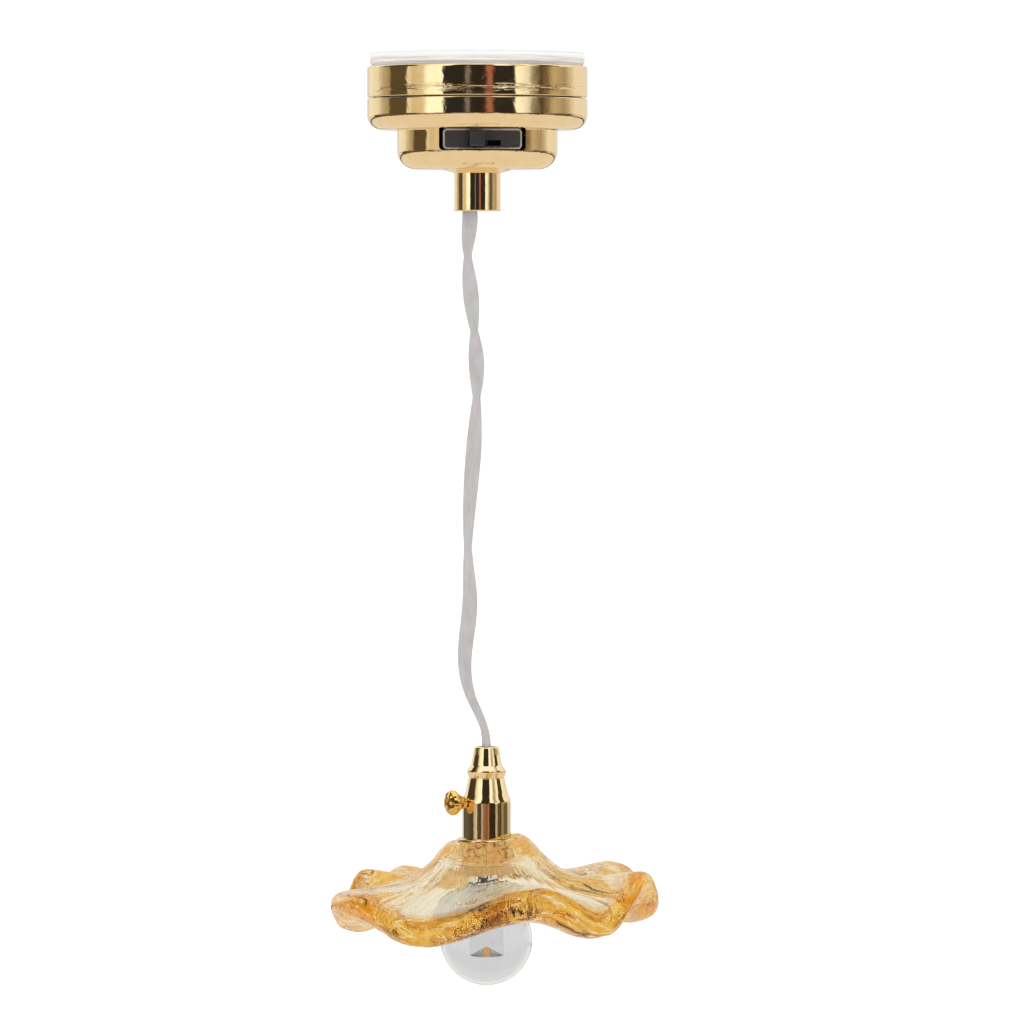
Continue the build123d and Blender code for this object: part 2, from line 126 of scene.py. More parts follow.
def route_line(route):
    """The points of a smooth spline whose control points are the route's."""
    data = bpy.data.curves.new("route", "CURVE")
    data.dimensions, data.resolution_u = "3D", 24
    spline = data.splines.new("NURBS")
    spline.points.add(len(route) - 1)
    for point, place in zip(spline.points, route):
        point.co = (*(Vector(place) * MM), 1.0)
    spline.order_u = 3
    spline.use_endpoint_u = True
    curve = bpy.data.objects.new("route", data)
    mesh = bpy.data.meshes.new_from_object(curve)
    line = [v.co / MM for v in mesh.vertices]
    bpy.data.meshes.remove(mesh)
    bpy.data.objects.remove(curve)
    return line


def twist_at(height):
    for (z0, t0), (z1, t1) in zip(TWIST, TWIST[1:]):
        if height >= z1:
            return radians(t0 + (t1 - t0) * (height - z0) / (z1 - z0))
    return radians(TWIST[-1][1])


STRAND_R = 0.5
WEB_R = 0.44                      # half the cord's thickness in the valley between its strands
SECTION_POINTS = 36


def pair_section():
    """Two strands joined by a shallow web: points of (across, through)."""
    points = []
    for k in range(SECTION_POINTS):
        turn = 2 * pi * k / SECTION_POINTS
        x = cos(turn)
        past = abs(x) - STRAND_R
        lobe = max(STRAND_R ** 2 - past ** 2, 0) ** 0.5
        depth = lobe if past > 0 else WEB_R + (STRAND_R - WEB_R) * ease(abs(x), 0, STRAND_R)
        on_edge = k % (SECTION_POINTS // 2) == 0
        points.append((0.99 * x, 0.0 if on_edge else depth if sin(turn) > 0 else -depth))
    return points


def twisted_cord():
    line = route_line(CORD_ROUTE)
    section, rings = pair_section(), []
    for i, place in enumerate(line):
        along = (line[min(i + 1, len(line) - 1)] - line[max(i - 1, 0)]).normalized()
        right = (Vector((1, 0, 0)) - along * along.x).normalized()
        back = along.cross(right) * -1
        turn = twist_at(place.z)
        across, through = right * cos(turn) + back * sin(turn), back * cos(turn) - right * sin(turn)
        rings.append([place + across * x + through * y for x, y in section])
    cord = skin("twisted_cord", rings)
    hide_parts("cord", "cord_top")
    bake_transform(cord)
    return cord


# --- materials -----------------------------------------------------------------------------------
class Nodes:
    """A node tree with short ways to add to it."""

    def __init__(self, tree):
        self.tree = tree

    def put(self, node, values):
        """Link or set each input, named with or without underscores, or numbered."""
        for key, value in values.items():
            socket = node.inputs[key.replace("_", " ") if isinstance(key, str) else key]
            if isinstance(value, bpy.types.NodeSocket):
                self.tree.links.new(value, socket)
            else:
                socket.default_value = value

    def add(self, kind, values=None, out=0, **settings):
        """Add a node and give one of its outputs, or the node itself where out is None."""
        node = self.tree.nodes.new(kind)
        for key, value in settings.items():
            setattr(node, key, value)
        self.put(node, values or {})
        return node if out is None else node.outputs[out]

    def spread(self, value, low, high, start=0.3, end=0.7):
        """Map a value from start..end to low..high."""
        return self.add("ShaderNodeMapRange", {"Value": value, "From Min": start, "From Max": end,
                                               "To Min": low, "To Max": high})

    def mix(self, share, a, b):
        node = self.tree.nodes.new("ShaderNodeMix")
        node.data_type = "RGBA"
        self.put(node, {0: share, 6: a, 7: b})
        return node.outputs[2]

    def math(self, operation, a, b=0.0):
        return self.add("ShaderNodeMath", {0: a, 1: b}, operation=operation)

    def gap(self, value, middle):
        """How far a value is from a middle."""
        return self.math("ABSOLUTE", self.math("SUBTRACT", value, middle))


class Shader(Nodes):
    """A node material whose coordinates are millimetres in the piece's own frame."""

    def __init__(self, name, **values):
        self.material = bpy.data.materials.new(name)
        self.material.use_nodes = True
        super().__init__(self.material.node_tree)
        self.main = self.tree.nodes["Principled BSDF"]
        self.put(self.main, values)
        place = self.tree.nodes.new("ShaderNodeTexCoord").outputs["Object"]
        self.place = self.add("ShaderNodeVectorMath", {0: place, "Scale": 1 / MM}, operation="SCALE")

    def axis(self, index):
        """The x, y or z of the place on the piece."""
        return self.add("ShaderNodeSeparateXYZ", {0: self.place}, out=index)

    def stretched(self, x, y, z):
        return self.add("ShaderNodeVectorMath", {0: self.place, 1: (x, y, z)}, operation="MULTIPLY")

    def noise(self, scale, detail=2.0, distortion=0.0, at=None):
        return self.add("ShaderNodeTexNoise", {"Vector": at or self.place, "Scale": scale,
                                               "Detail": detail, "Distortion": distortion})

    def ridge(self, value, width):
        """Thin lines where a noise crosses its middle."""
        return self.spread(self.gap(value, 0.5), 1.0, 0.0, 0.0, width)

    def bump(self, height, distance, normal=None):
        """Relief of a depth in millimetres, over another bump where one is given."""
        values = {"Height": height, "Distance": distance * MM}
        if normal:
            values["Normal"] = normal
        return self.add("ShaderNodeBump", values)

    def attribute(self, name, out="Fac"):
        node = self.tree.nodes.new("ShaderNodeAttribute")
        node.attribute_name = name
        return node.outputs[out]


def rgb(r, g, b):
    return (r, g, b, 1.0)


GOLD, WORN_GOLD = (0.93, 0.77, 0.50), (0.93 * 0.97, 0.77 * 0.93, 0.50 * 0.84)
SCRATCH = 0.0012                  # depth of the finest marks in the plating


def gold(name, wave=0.004, ripple=None):
    """Polished plating: slightly wavy, with fine scratches round the part, and perhaps a rippled
    band at a height."""
    s = Shader(name, Metallic=1.0)
    wear = s.noise(0.9, 4.0)
    s.put(s.main, {"Base Color": s.mix(s.spread(wear, 0.0, 1.0), rgb(*GOLD), rgb(*WORN_GOLD))})
    lines = s.noise(1.0, 3.0, at=s.stretched(0.5, 0.5, 14.0))
    s.put(s.main, {"Roughness": s.spread(s.math("MULTIPLY", lines, wear), 0.035, 0.11, 0.1, 0.5)})
    soft = s.bump(s.noise(0.55, 3.0, 0.4), wave * 8)
    if ripple:
        near = s.spread(s.gap(s.axis(2), ripple), 1.0, 0.0, 0.1, 0.75)
        teeth = s.math("SUBTRACT", s.noise(1.0, 3.0, 0.8, at=s.stretched(0.3, 0.3, 2.4)), 0.5)
        soft = s.bump(s.math("MULTIPLY", teeth, near), 0.07, normal=soft)
    fine = s.bump(lines, SCRATCH, normal=soft)
    s.put(s.main, {"Normal": s.bump(s.noise(5.0, 4.0), SCRATCH, normal=fine)})
    return s.material


def hammered_gold(name):
    """Deeper gold with large dents."""
    s = Shader(name, Metallic=1.0)
    cells = s.add("ShaderNodeTexVoronoi", {"Vector": s.place, "Scale": 0.95}, feature="SMOOTH_F1")
    s.put(s.main, {"Base Color": s.mix(s.spread(cells, 0.0, 1.0, 0.2, 0.7), rgb(0.92, 0.62, 0.20),
                                       rgb(0.84, 0.48, 0.12)),
                   "Roughness": s.spread(s.noise(3.0), 0.08, 0.2)})
    dents = s.bump(cells, 0.45)
    s.put(s.main, {"Normal": s.bump(s.noise(3.0, 3.0), 0.008, normal=dents)})
    return s.material


def steel(name, tint, rough, stretch=(8.0, 0.4, 0.4)):
    """Bare metal with a grain across the stretched axis."""
    s = Shader(name, Metallic=1.0)
    lines = s.noise(1.0, 3.0, at=s.stretched(*stretch))
    s.put(s.main, {"Base Color": s.mix(lines, rgb(*tint), rgb(*(c * 0.86 for c in tint))),
                   "Roughness": s.spread(lines, rough * 0.7, rough * 1.4),
                   "Normal": s.bump(lines, 0.004)})
    return s.material


def plastic(name, tint, rough, grain=6.0, depth=0.01):
    """Moulded plastic, a little dusty in patches."""
    s = Shader(name)
    dust = s.math("MULTIPLY", s.noise(0.8, 4.0), 0.15)
    tone = s.mix(dust, rgb(*tint), rgb(*(c * 0.7 + 0.12 for c in tint)))
    s.put(s.main, {"Base Color": tone, "Roughness": s.spread(s.noise(grain), rough * 0.85, rough * 1.2),
                   "Normal": s.bump(s.noise(grain, 3.0), depth)})
    return s.material


def cord_material():
    """Soft pale grey insulation with faint marks along the strands."""
    s = Shader("cord_plastic", **{"Subsurface Weight": 0.25, "Subsurface Scale": 0.4 * MM, "IOR": 1.45,
                                  "Specular IOR Level": 0.35})
    marks = s.noise(1.2, 5.0, at=s.stretched(1.0, 1.0, 0.35))
    tone = s.mix(s.spread(marks, 0.0, 1.0), rgb(0.56, 0.55, 0.555), rgb(0.48, 0.47, 0.475))
    s.put(s.main, {"Base Color": tone,
                   "Roughness": s.spread(marks, 0.38, 0.5),
                   "Normal": s.bump(s.noise(4.0, 4.0), 0.01)})
    return s.material


def foam(name):
    """Porous foam in faint layers, white towards its top."""
    s = Shader(name, **{"Subsurface Weight": 0.3, "Subsurface Scale": 0.5 * MM, "Roughness": 0.8,
                        "Specular IOR Level": 0.2})
    pores = s.add("ShaderNodeTexVoronoi", {"Vector": s.place, "Scale": 5.0})
    layers = s.noise(1.0, 2.0, at=s.stretched(0.12, 0.12, 6.0))
    tone = s.mix(s.spread(layers, 0.0, 1.0, 0.38, 0.62), rgb(0.88, 0.86, 0.84), rgb(0.66, 0.63, 0.61))
    white = s.spread(s.axis(2), 0.0, 1.0, -0.85, -0.45)
    s.put(s.main, {"Base Color": s.mix(white, tone, rgb(0.97, 0.97, 0.97)),
                   "Normal": s.bump(layers, 0.03, normal=s.bump(pores, 0.03))})
    return s.material


def paper(name):
    """Smooth white paper with faint fibres."""
    s = Shader(name, Roughness=0.45)
    fibres = s.noise(3.0, 6.0, 0.6)
    tone = s.mix(s.spread(fibres, 0.0, 1.0), rgb(0.97, 0.97, 0.97), rgb(0.93, 0.93, 0.93))
    s.put(s.main, {"Base Color": tone, "Normal": s.bump(fibres, 0.004)})
    return s.material


def clear(name, ior, tint=(0.98, 0.98, 0.99), specks=0.0):
    """Clear resin or glass; specks says how strong its few grey specks are."""
    s = Shader(name, **{"Transmission Weight": 1.0, "IOR": ior})
    dots = s.add("ShaderNodeTexVoronoi", {"Vector": s.place, "Scale": 0.9})
    tone = s.mix(s.spread(dots, specks, 0.0, 0.06, 0.10), rgb(*tint), rgb(0.35, 0.36, 0.38))
    s.put(s.main, {"Base Color": tone, "Roughness": s.spread(s.noise(1.0, 3.0), 0.0, 0.02),
                   "Normal": s.bump(s.noise(0.7, 2.0), 0.003)})
    return s.material


def glass_body(s):
    """Pale honey streaks that run out from the hub."""
    flow = s.attribute("flow", "Vector")
    streaks = s.noise(1.0, 4.0, 0.3, at=flow)
    body = s.mix(s.spread(streaks, 0.0, 1.0, 0.40, 0.66), rgb(0.91, 0.90, 0.79), rgb(0.84, 0.77, 0.55))
    wide = s.noise(0.33, 2.0, 0.5, at=flow)
    body = s.mix(s.spread(wide, 0.0, 0.7, 0.48, 0.64), body, rgb(0.86, 0.70, 0.42))
    lines = s.ridge(s.noise(0.8, 2.0, 0.6, at=flow), 0.022)
    return s.mix(s.math("MULTIPLY", lines, 0.7), body, rgb(0.62, 0.45, 0.22))


def glass_rim(s):
    """Deep amber swirls with brown spots and pale lines painted as highlights."""
    sweep = s.attribute("sweep", "Vector")
    swirl = s.noise(1.0, 2.0, 1.3, at=sweep)
    deep = s.mix(s.spread(swirl, 0.0, 1.0, 0.36, 0.60), rgb(0.88, 0.40, 0.022), rgb(0.64, 0.22, 0.006))
    spots = s.spread(s.noise(1.6, 2.0, 1.0, at=sweep), 0.0, 0.85, 0.58, 0.67)
    deep = s.mix(spots, deep, rgb(0.36, 0.11, 0.008))
    # painted highlights: pale lines through the rim's amber
    painted_highlights = s.ridge(s.noise(0.7, 2.0, 1.8, at=sweep), 0.03)
    return s.mix(painted_highlights, deep, rgb(1.0, 0.82, 0.40))


def glass_hub(s):
    """Crinkled amber round the hole, with dark flecks, pale flecks painted as highlights, and a mould seam
    down the front.
    """
    crinkle = s.noise(1.1, 4.0, 1.5)
    core = s.mix(s.spread(crinkle, 0.0, 1.0, 0.36, 0.6), rgb(1.0, 0.80, 0.40), rgb(0.86, 0.47, 0.12))
    core = s.mix(s.spread(crinkle, 0.0, 0.95, 0.58, 0.64), core, rgb(0.24, 0.09, 0.01))
    # painted highlights: pale flecks laid over the amber
    core = s.mix(s.spread(s.noise(1.4, 2.0, 1.0), 0.0, 0.9, 0.60, 0.64), core, rgb(1.0, 0.93, 0.62))
    aside = s.gap(s.axis(0), LAMP_X + 0.05)
    in_front = s.math("LESS_THAN", s.axis(1), 0.0)
    seam = s.math("MULTIPLY", s.spread(aside, 1.0, 0.0, 0.06, 0.16), in_front)
    return s.mix(s.math("MULTIPLY", seam, 0.85), core, rgb(0.42, 0.19, 0.03))


def amber_glass():
    """Honey glass: pale and streaked over the body, deep amber in the thick rim and round the hole, where it
    has a faint painted glow.
    """
    s = Shader("amber_glass", **{"IOR": 1.23, "Roughness": 0.0, "Coat Weight": 0.45, "Coat Roughness": 0.02})
    rim, hub = s.attribute("rim"), s.attribute("hub")
    colour = s.mix(rim, glass_body(s), glass_rim(s))
    # painted shade: a darker brown line where the body turns into the rim, for the dark edge of the brim
    outline = s.spread(s.gap(rim, 0.45), 0.7, 0.0, 0.1, 0.4)
    colour = s.mix(outline, colour, rgb(0.66, 0.42, 0.28))
    core = glass_hub(s)
    s.put(s.main, {"Base Color": s.mix(hub, colour, core),
                   "Transmission Weight": s.spread(hub, 1.0, 0.35, 0.0, 1.0),
                   # painted glow: the amber round the hole gives off a faint light of its own
                   "Emission Color": core, "Emission Strength": s.math("MULTIPLY", hub, 0.13),
                   "Normal": s.bump(s.noise(0.8, 2.0, 0.8), 0.02)})
    volume = s.add("ShaderNodeVolumeAbsorption", {"Color": rgb(1.0, 0.84, 0.50), "Density": 30.0})
    s.tree.links.new(volume, s.tree.nodes["Material Output"].inputs["Volume"])
    return s.material


def light_guide():
    """Clear acrylic whose cone at the lower end has a painted reflection, grey with the phosphor's warm
    orange in the middle, and a faint painted glow.
    """
    s = Shader("clear_plug", **{"IOR": 1.12, "Roughness": 0.0})
    cone = s.attribute("cone")
    aside = s.gap(s.axis(0), LAMP_X)
    haze = s.spread(s.noise(1.5, 3.0), 0.0, 1.0)
    glass = s.mix(haze, rgb(0.86, 0.86, 0.87), rgb(0.92, 0.92, 0.92))
    grey = s.mix(s.spread(s.noise(0.9, 3.0), 0.0, 1.0), rgb(0.46, 0.46, 0.46), rgb(0.62, 0.62, 0.61))
    mirrored = s.mix(s.spread(aside, 1.0, 0.0, 0.25, 0.5), grey, rgb(1.0, 0.60, 0.24))
    s.put(s.main, {"Base Color": s.mix(cone, glass, mirrored),
                   "Transmission Weight": s.spread(cone, 1.0, 0.3, 0.0, 1.0),
                   # painted glow: the cone gives off a faint light of its own
                   "Emission Color": mirrored, "Emission Strength": s.math("MULTIPLY", cone, 0.25),
                   "Normal": s.bump(s.noise(0.8, 2.0), 0.002)})
    return s.material


def phosphor():
    """Grainy orange phosphor."""
    s = Shader("phosphor", Roughness=0.7)
    grains = s.noise(9.0, 3.0)
    s.put(s.main, {"Base Color": s.mix(grains, rgb(1.0, 0.62, 0.22), rgb(0.95, 0.45, 0.12)),
                   "Normal": s.bump(grains, 0.02)})
    return s.material


def paint(material, *names):
    for name in names:
        thing = nodes.get(name) or bpy.data.objects[name]
        thing.data.materials.clear()
        thing.data.materials.append(material)


paint(gold("gold_plate", ripple=-4.7), "ceiling_plate")
paint(gold("gold_shell"), "canopy_shell")
paint(gold("gold_collar", wave=0.002), "collar")
paint(gold("gold_socket", wave=0.002), "socket_cap", "socket_shell")
paint(gold("gold_holder", wave=0.002), "shade_holder")
paint(steel("gold_nut", (1.0, 0.80, 0.50), 0.35), "shade_nut")
paint(hammered_gold("gold_key"), "key")
paint(plastic("switch_black", (0.030, 0.030, 0.036), 0.38, 5.0, 0.012), "switch_housing")
paint(plastic("switch_knob", (0.020, 0.020, 0.026), 0.33, 5.0, 0.012), "switch_slider")
paint(steel("switch_steel", (0.95, 0.95, 0.95), 0.55), "switch_frame")
paint(steel("tinned", (0.90, 0.90, 0.89), 0.6), "switch_terminals", "led_leads")
paint(steel("strip_brass", (0.80, 0.66, 0.40), 0.3), "contact_positive", "contact_negative", "switch_wiper")
paint(steel("cell_steel", (0.78, 0.78, 0.77), 0.25, (6.0, 0.3, 0.3)), "coin_cell")
paint(steel("crimp_steel", (0.70, 0.70, 0.70), 0.3), "cord_grip")
paint(plastic("tray_plastic", (0.80, 0.79, 0.75), 0.5), "battery_tray")
paint(plastic("lead_red", (0.60, 0.05, 0.04), 0.35), "lead_positive")
paint(plastic("lead_black", (0.03, 0.03, 0.03), 0.35), "lead_negative")
paint(plastic("shrink_black", (0.04, 0.04, 0.04), 0.6), "heat_shrinks")
paint(phosphor(), "led_phosphor")
cord_white = cord_material()
paint(cord_white, "lead_switched", "cord_knot", "cord_inner", "cord_tail", "strand_tails")

cord = twisted_cord()
paint(cord_white, cord.name)


# --- foam pad ------------------------------------------------------------------------------------
def uneven_disc(name, outline, seed, amount):
    """A disc from a profile of (radius, height), whose edge wanders a little, as cut foam does."""
    count, rings = 160, []
    for r, z in outline:
        ring = []
        for k in range(count):
            a = 2 * pi * k / count
            wander = noise.noise(Vector((cos(a) * 2.2, sin(a) * 2.2, seed + z * 1.5)))
            wander += 0.5 * noise.noise(Vector((cos(a) * 9, sin(a) * 9, seed + z * 3)))
            reach = r - amount * (0.5 + 0.5 * wander) * (r > 1)
            ring.append((reach * cos(a), reach * sin(a), z))
        rings.append(ring)
    return skin(name, rings)


pad = uneven_disc("foam_pad", [
    (0.5, -1.75), (12.8, -1.75), (13.45, -1.75), (13.5, -1.71), (13.5, -1.60), (13.42, -1.55),
    (13.5, -1.50), (13.62, -1.40), (13.68, -1.20), (13.66, -1.05), (13.58, -0.98), (13.66, -0.90),
    (13.69, -0.72), (13.68, -0.50), (13.62, -0.34), (13.6, -0.22), (13.6, -0.20), (13.55, -0.15),
    (12.8, -0.15), (0.5, -0.15)], 3.0, 0.10)
paint(foam("foam"), pad.name)
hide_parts("adhesive_pad")
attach(pad, "ceiling_mount")

liner = uneven_disc("paper_liner", [
    (0.5, -0.15), (13.0, -0.15), (13.68, -0.15), (13.70, -0.12), (13.70, -0.04), (13.68, 0.0), (13.0, 0.0),
    (0.5, 0.0)], 8.0, 0.05)
paint(paper("paper"), liner.name)
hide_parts("release_liner")
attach(liner, "ceiling_mount")


# --- shade ---------------------------------------------------------------------------------------
BORE_R, BORE_TOP, BORE_BOTTOM = 2.95, -100.45, -103.6
OUTSIDE = [(BORE_R, BORE_TOP), (3.95, -100.45), (4.5, -100.4), (5.2, -100.7), (6.1, -101.55), (7.1, -102.7),
           (8.3, -103.75), (10.0, -104.75), (12.2, -105.5), (15.0, -106.0), (18.0, -106.3), (19.9, -106.7)]
RIM = [(20.7, -107.4), (20.9, -108.25), (20.6, -109.15), (19.9, -109.9)]
INSIDE = [(18.6, -110.5), (17.0, -110.7), (14.8, -110.3), (12.4, -109.2), (10.2, -107.9), (8.2, -106.4),
          (6.5, -105.1), (5.3, -104.0), (4.4, -103.6), (BORE_R, BORE_BOTTOM)]
# degrees from the front, to the right, and the rise of the rim there
RUFFLE = [(19, 2.0), (46, -1.5), (70, 2.6), (95, -1.1), (129, 2.05), (151, -1.9), (173, 1.9), (196, -1.9),
          (215, 2.0), (225, 0.95), (237, 2.1), (252, -1.9), (275, 0.4), (303, 1.0), (333, -1.75)]
RUFFLE_FROM_R, RUFFLE_TO_R = 7, 20
TILT = 0.035                      # the right of the shade rides higher
SHOULDER = 0.85                   # how much further the right shoulder rises beside the flange
STEPS = 6                         # rows to each stretch of the profile
STATIONS = 720                    # points round each row
BORE_ROWS = 8                     # steps up the hole's wall
RIB_DEPTH, SWIRL_DEPTH, CRINKLE_DEPTH = 0.10, 0.16, 0.07
INNER_SEED = 40                   # sets the inside's relief apart from the outside's


def rim_rise(angle):
    """The rise of the rim at an angle in degrees, easing from each crest to the next trough."""
    knots = [(RUFFLE[-1][0] - 360, RUFFLE[-1][1])] + RUFFLE + [(RUFFLE[0][0] + 360, RUFFLE[0][1])]
    for (a0, rise0), (a1, rise1) in zip(knots, knots[1:]):
        if a0 <= angle <= a1:
            return rise0 + (rise1 - rise0) * (1 - cos(pi * (angle - a0) / (a1 - a0))) / 2


def shoulder_lift(r, a):
    """The crown's right shoulder rises just outside the flange and falls away again."""
    return SHOULDER * clamp(min((r - 3.95) / 0.55, (12 - r) / 7.5)) * max(sin(a), 0) ** 0.7


def shade_point(r, z, angle, outside):
    """A profile point at an angle.  The brim reaches a millimetre more on the right, less on the left."""
    a = radians(angle)
    lift = rim_rise(angle) * clamp((r - RUFFLE_FROM_R) / (RUFFLE_TO_R - RUFFLE_FROM_R), 0, 1.1) ** 1.35
    lift += TILT * max(r - 4.3, 0) * sin(a)
    if outside:
        lift += shoulder_lift(r, a)
    reach = r + clamp((r - 5) / 15) * sin(a)
    return Vector((LAMP_X + reach * sin(a), -reach * cos(a), z + lift))


def two_noises(place, finer, share):
    """A noise with a share of a finer one laid over it."""
    return noise.noise(place) + share * noise.noise(finer)


def glass_relief(r, z, around, in_rim, seed):
    """Ribs that run out from the hub over the body, and swirls in the rim."""
    ribs = two_noises(around * 9 + Vector((0, 0, r * 0.10 + seed)),
                      around * 21 + Vector((0, 0, r * 0.15 + seed)), 0.5)
    drift = around * 7 + Vector((0, 0, z * 0.55 + seed))
    swirl = two_noises(drift, drift * 2.3, 0.35)
    return ease(r, 4.6, 9) * (1 - in_rim) * RIB_DEPTH * ribs + in_rim * SWIRL_DEPTH * swirl


def glass_shade():
    """The shade's skin, with attributes that say where the glass is rim or hub and how it flowed."""
    profile = smooth_line(OUTSIDE + RIM + INSIDE, STEPS)
    last_outside, last_rim = len(OUTSIDE) * STEPS, (len(OUTSIDE) + len(RIM) - 1) * STEPS
    bore_step = (BORE_TOP - BORE_BOTTOM) / BORE_ROWS
    rows = profile + [Vector((BORE_R, BORE_BOTTOM + bore_step * k)) for k in range(1, BORE_ROWS)]
    rings, rim, hub, flow, sweep, run = [], [], [], [], [], 0.0
    for i, (r, z) in enumerate(rows):
        inner, bore = i > last_rim, i >= len(profile)
        seed = INNER_SEED if inner else 0
        in_rim = 0.0 if bore else ease(r, 17.2, 19.0) if inner else ease(r, 18.4, 19.8)
        in_hub = 1.0 if bore else 1 - ease(r, 3.6, 5.2) if inner else 0.0
        slope = Vector(rows[min(i + 1, len(rows) - 1)]) - Vector(rows[max(i - 1, 0)])
        out = Vector((-slope.y, slope.x)).normalized()
        run += (Vector(rows[i]) - Vector(rows[i - 1])).length if i else 0.0
        ring = []
        for k in range(STATIONS):
            angle = 360 * k / STATIONS
            a = radians(angle)
            around = Vector((sin(a), -cos(a), 0))
            p = shade_point(r, z, angle, i <= last_outside)
            if bore:
                p += around * CRINKLE_DEPTH * noise.noise(p * 0.9)
            else:
                p += (around * out.x + Vector((0, 0, out.y))) * glass_relief(r, z, around, in_rim, seed)
            ring.append(p)
            flow.append(around * 14 + Vector((0, 0, r * 0.1 + seed)))
            sweep.append(around * 4.2 + Vector((0, 0, run * 0.75)))
        rings.append(ring)
        rim += [in_rim] * STATIONS
        hub += [in_hub] * STATIONS
    shade = skin("glass_shade", rings, closed=True)
    for name, values in (("rim", rim), ("hub", hub)):
        shade.data.attributes.new(name, "FLOAT", "POINT").data.foreach_set("value", values)
    for name, values in (("flow", flow), ("sweep", sweep)):
        flat = [c for v in values for c in v]
        shade.data.attributes.new(name, "FLOAT_VECTOR", "POINT").data.foreach_set("vector", flat)
    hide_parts("shade")
    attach(shade, "lamp")
    return shade


shade = glass_shade()
paint(amber_glass(), shade.name)


# --- bulb ----------------------------------------------------------------------------------------
SEGMENTS = 128


def lathe(name, outline):
    """A profile of (radius, height) turned about the lamp's axis."""
    turns = [2 * pi * k / SEGMENTS for k in range(SEGMENTS)]
    return skin(name, [[(LAMP_X + r * cos(t), r * sin(t), z) for t in turns] for r, z in outline])


BALL_R, BALL_WALL, BALL_Z = 5.85, 0.4, -113.0
GUIDE_R, GUIDE_TOP, GUIDE_BOTTOM = 2.15, -105.55, -115.05
GUIDE_BODY = [
    (0.02, -110.5), (1.2, -110.5), (1.5, -110.2), (1.52, -109.8), (1.52, -105.6), (1.57, GUIDE_TOP),
    (2.05, GUIDE_TOP), (2.13, -105.6), (GUIDE_R, -105.7), (GUIDE_R, -110.0), (GUIDE_R, -114.97),
    (2.12, -115.03), (2.03, GUIDE_BOTTOM)]
GUIDE_CONE = [(2.0, -115.03), (1.0, -114.43), (0.4, -114.05), (0.02, -113.85)]


def ball_line(radius, start, end):
    """An arc of the ball between two angles in degrees from its top."""
    steps = 70
    turns = [radians(start + (end - start) * k / steps) for k in range(steps + 1)]
    return [(max(radius * sin(t), 0.02), BALL_Z + radius * cos(t)) for t in turns]


globe = lathe("clear_globe", ball_line(BALL_R, 180, 22.3) + ball_line(BALL_R - BALL_WALL, 24.1, 180))
paint(clear("clear_ball", 1.25, (0.835, 0.84, 0.85), specks=0.5), globe.name)
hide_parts("bulb_globe")
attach(globe, "lamp")

guide = lathe("light_guide", GUIDE_BODY + GUIDE_CONE)
cone = [0.0] * len(GUIDE_BODY) * SEGMENTS + [1.0] * len(GUIDE_CONE) * SEGMENTS
guide.data.attributes.new("cone", "FLOAT", "POINT").data.foreach_set("value", cone)
paint(light_guide(), guide.name)
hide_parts("bulb_base")
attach(guide, "lamp")
paint(clear("led_resin", 1.15), "led_body")

for thing in nodes.values():
    if not thing.hide_render:
        thing.data.polygons.foreach_set("use_smooth", [True] * len(thing.data.polygons))


# --- stage and light -----------------------------------------------------------------------------
FLOOR_R, FLOOR_Z, FLOOR_SIDES = 30000, -800, 96
floor_turns = [2 * pi * k / FLOOR_SIDES for k in range(FLOOR_SIDES)]
floor = skin("floor", [[(FLOOR_R * cos(t), FLOOR_R * sin(t), z) for t in floor_turns]
                       for z in (FLOOR_Z, FLOOR_Z - 5)])
s = Shader("floor", **{"Roughness": 0.9, "Emission Color": rgb(1, 1, 1), "Emission Strength": 0.35})
s.put(s.main, {"Base Color": s.mix(s.noise(0.01), rgb(0.93, 0.93, 0.93), rgb(0.91, 0.91, 0.91))})
paint(s.material, "floor")
floor.visible_glossy = False
floor.visible_transmission = False

# What the polished metal mirrors, by direction in degrees: 0 is towards the camera, to the right
# positive.  The three lists are for level, falling and rising directions.
CREAM, BLACK, RED, EDGE = (1.3, 1.28, 1.16), (0.028, 0.025, 0.023), (0.42, 0.16, 0.11), (0.80, 0.74, 0.68)
DUSK, TAN, SAND = (0.11, 0.08, 0.045), (0.70, 0.60, 0.42), (0.92, 0.84, 0.72)
SOOT, GLOW = (0.035, 0.03, 0.02), (1.1, 1.05, 0.95)
LEVEL = [
    (-180, EDGE), (-157, EDGE), (-152, (0.98, 0.94, 0.84)), (-128, (0.92, 0.86, 0.76)),
    (-117, (0.58, 0.48, 0.34)), (-106, (0.42, 0.34, 0.22)), (-103, DUSK), (-79, DUSK), (-77, SAND),
    (-71, TAN), (-58, (0.80, 0.70, 0.52)), (-53, CREAM), (-36.5, CREAM), (-35, BLACK), (-13, BLACK),
    (-11.5, (0.22, 0.19, 0.19)), (-8, (0.22, 0.19, 0.19)), (-6.5, BLACK), (8, BLACK), (10.5, RED),
    (16, RED), (17.5, BLACK), (39.5, BLACK), (41, CREAM), (55, (0.88, 0.88, 0.86)),
    (60, (0.37, 0.33, 0.27)), (70.5, (0.09, 0.06, 0.02)), (77, (0.20, 0.15, 0.09)),
    (88, (0.58, 0.48, 0.30)), (104, (0.42, 0.34, 0.24)), (124, (0.92, 0.86, 0.76)), (180, EDGE)]
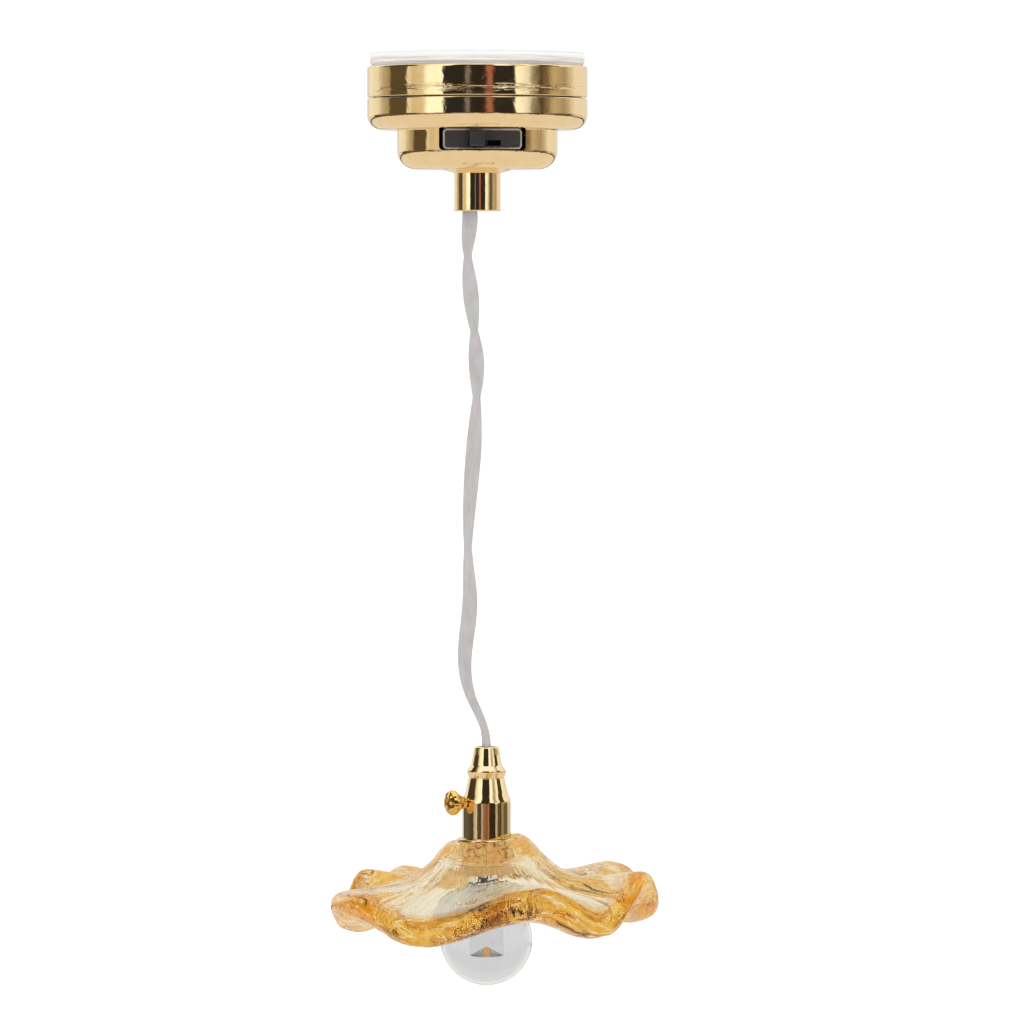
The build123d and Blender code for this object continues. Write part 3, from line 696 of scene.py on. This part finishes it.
FALLING = [
    (-180, EDGE), (-141, (0.74, 0.68, 0.60)), (-136, (0.06, 0.05, 0.03)), (-113, (0.15, 0.13, 0.11)),
    (-76, (0.08, 0.06, 0.03)), (-67, (0.07, 0.05, 0.03)), (-63, (0.50, 0.43, 0.38)),
    (-47, (0.74, 0.70, 0.66)), (-44, (0.10, 0.07, 0.04)), (-26, (0.085, 0.055, 0.03)),
    (-24, (0.56, 0.46, 0.42)), (-18, (0.54, 0.42, 0.38)), (-15, (0.36, 0.19, 0.12)),
    (2, (0.27, 0.11, 0.055)), (7, (0.30, 0.14, 0.07)), (10, (0.49, 0.31, 0.25)),
    (14, (0.05, 0.025, 0.01)), (42, (0.03, 0.02, 0.01)), (45, (0.52, 0.49, 0.42)),
    (53, (0.52, 0.48, 0.40)), (55, (0.13, 0.09, 0.07)), (74, (0.08, 0.05, 0.02)),
    (77, (0.36, 0.31, 0.22)), (88, (0.34, 0.29, 0.20)), (91, (0.16, 0.13, 0.08)),
    (115, (0.15, 0.12, 0.08)), (122, (0.62, 0.60, 0.54)), (180, EDGE)]
RISING = [
    (-180, EDGE), (-126, GLOW), (-122, (0.05, 0.04, 0.03)), (-70, (0.07, 0.055, 0.035)),
    (-66, (0.75, 0.70, 0.62)), (-45, CREAM), (-27, CREAM), (-25, SOOT), (17, SOOT), (19, CREAM),
    (33, CREAM), (37, (0.50, 0.47, 0.40)), (51, (0.50, 0.47, 0.40)), (56, (1.1, 1.08, 1.0)),
    (67, (1.1, 1.08, 1.0)), (70, (0.06, 0.05, 0.03)), (95, (0.06, 0.05, 0.03)), (99, GLOW), (180, EDGE)]


def studio():
    """White to the camera and nearly so through glass, pale to matt surfaces, and the directions above
    to polished ones."""
    world = bpy.data.worlds.new("studio")
    bpy.context.scene.world = world
    world.use_nodes = True
    world.node_tree.nodes.clear()
    s = Nodes(world.node_tree)
    direction = s.add("ShaderNodeTexCoord", out="Generated")
    xyz = s.add("ShaderNodeSeparateXYZ", {0: direction}, out=None)
    height = xyz.outputs[2]
    angle = s.math("ARCTAN2", xyz.outputs[0], s.math("MULTIPLY", xyz.outputs[1], -1.0))
    share = s.spread(angle, 0.0, 1.0, -pi, pi)

    def ramp(colours):
        node = s.add("ShaderNodeValToRGB", {0: share}, out=None)
        stops = node.color_ramp.elements
        while len(stops) < len(colours):
            stops.new(0.5)
        for stop, (degrees, colour) in zip(stops, colours):
            stop.position = (degrees + 180) / 360
            stop.color = rgb(*colour)
        return node.outputs[0]

    def over(start, end):
        return s.spread(height, 0.0, 1.0, start, end)

    room = s.mix(over(-0.045, -0.055), ramp(LEVEL), ramp(FALLING))
    room = s.mix(over(0.09, 0.14), room, ramp(RISING))
    room = s.mix(over(-0.12, -0.13), room, rgb(*DUSK))
    room = s.mix(over(-0.16, -0.19), room, rgb(0.86, 0.77, 0.66))
    room = s.mix(over(0.75, 0.85), room, rgb(1.2, 1.17, 1.1))
    ray = s.add("ShaderNodeLightPath", out=None).outputs
    seen = s.mix(ray["Is Transmission Ray"], room, s.mix(0.9, room, rgb(0.98, 0.98, 0.98)))
    seen = s.mix(ray["Is Camera Ray"], seen, rgb(1.1, 1.1, 1.1))
    seen = s.mix(ray["Is Diffuse Ray"], seen, rgb(0.88, 0.88, 0.88))
    light = s.add("ShaderNodeBackground", {"Color": seen, "Strength": 1.0})
    s.add("ShaderNodeOutputWorld", {"Surface": light}, out=None)


studio()
bpy.context.scene.view_settings.view_transform = "Standard"

LIGHT_SIZE, LIGHT_AIM = 300, Vector((0, 0, -60))
for name, place, power in (("key", (-350, -450, 260), 0.16), ("fill", (420, -350, 60), 0.05)):
    data = bpy.data.lights.new(name, "AREA")
    data.shape, data.size, data.energy = "SQUARE", LIGHT_SIZE * MM, power
    lamp = bpy.data.objects.new(name, data)
    bpy.context.scene.collection.objects.link(lamp)
    lamp.location = Vector(place) * MM
    lamp.rotation_euler = (LIGHT_AIM - Vector(place)).to_track_quat("-Z", "Y").to_euler()
    lamp.visible_glossy = False
    lamp.visible_transmission = False
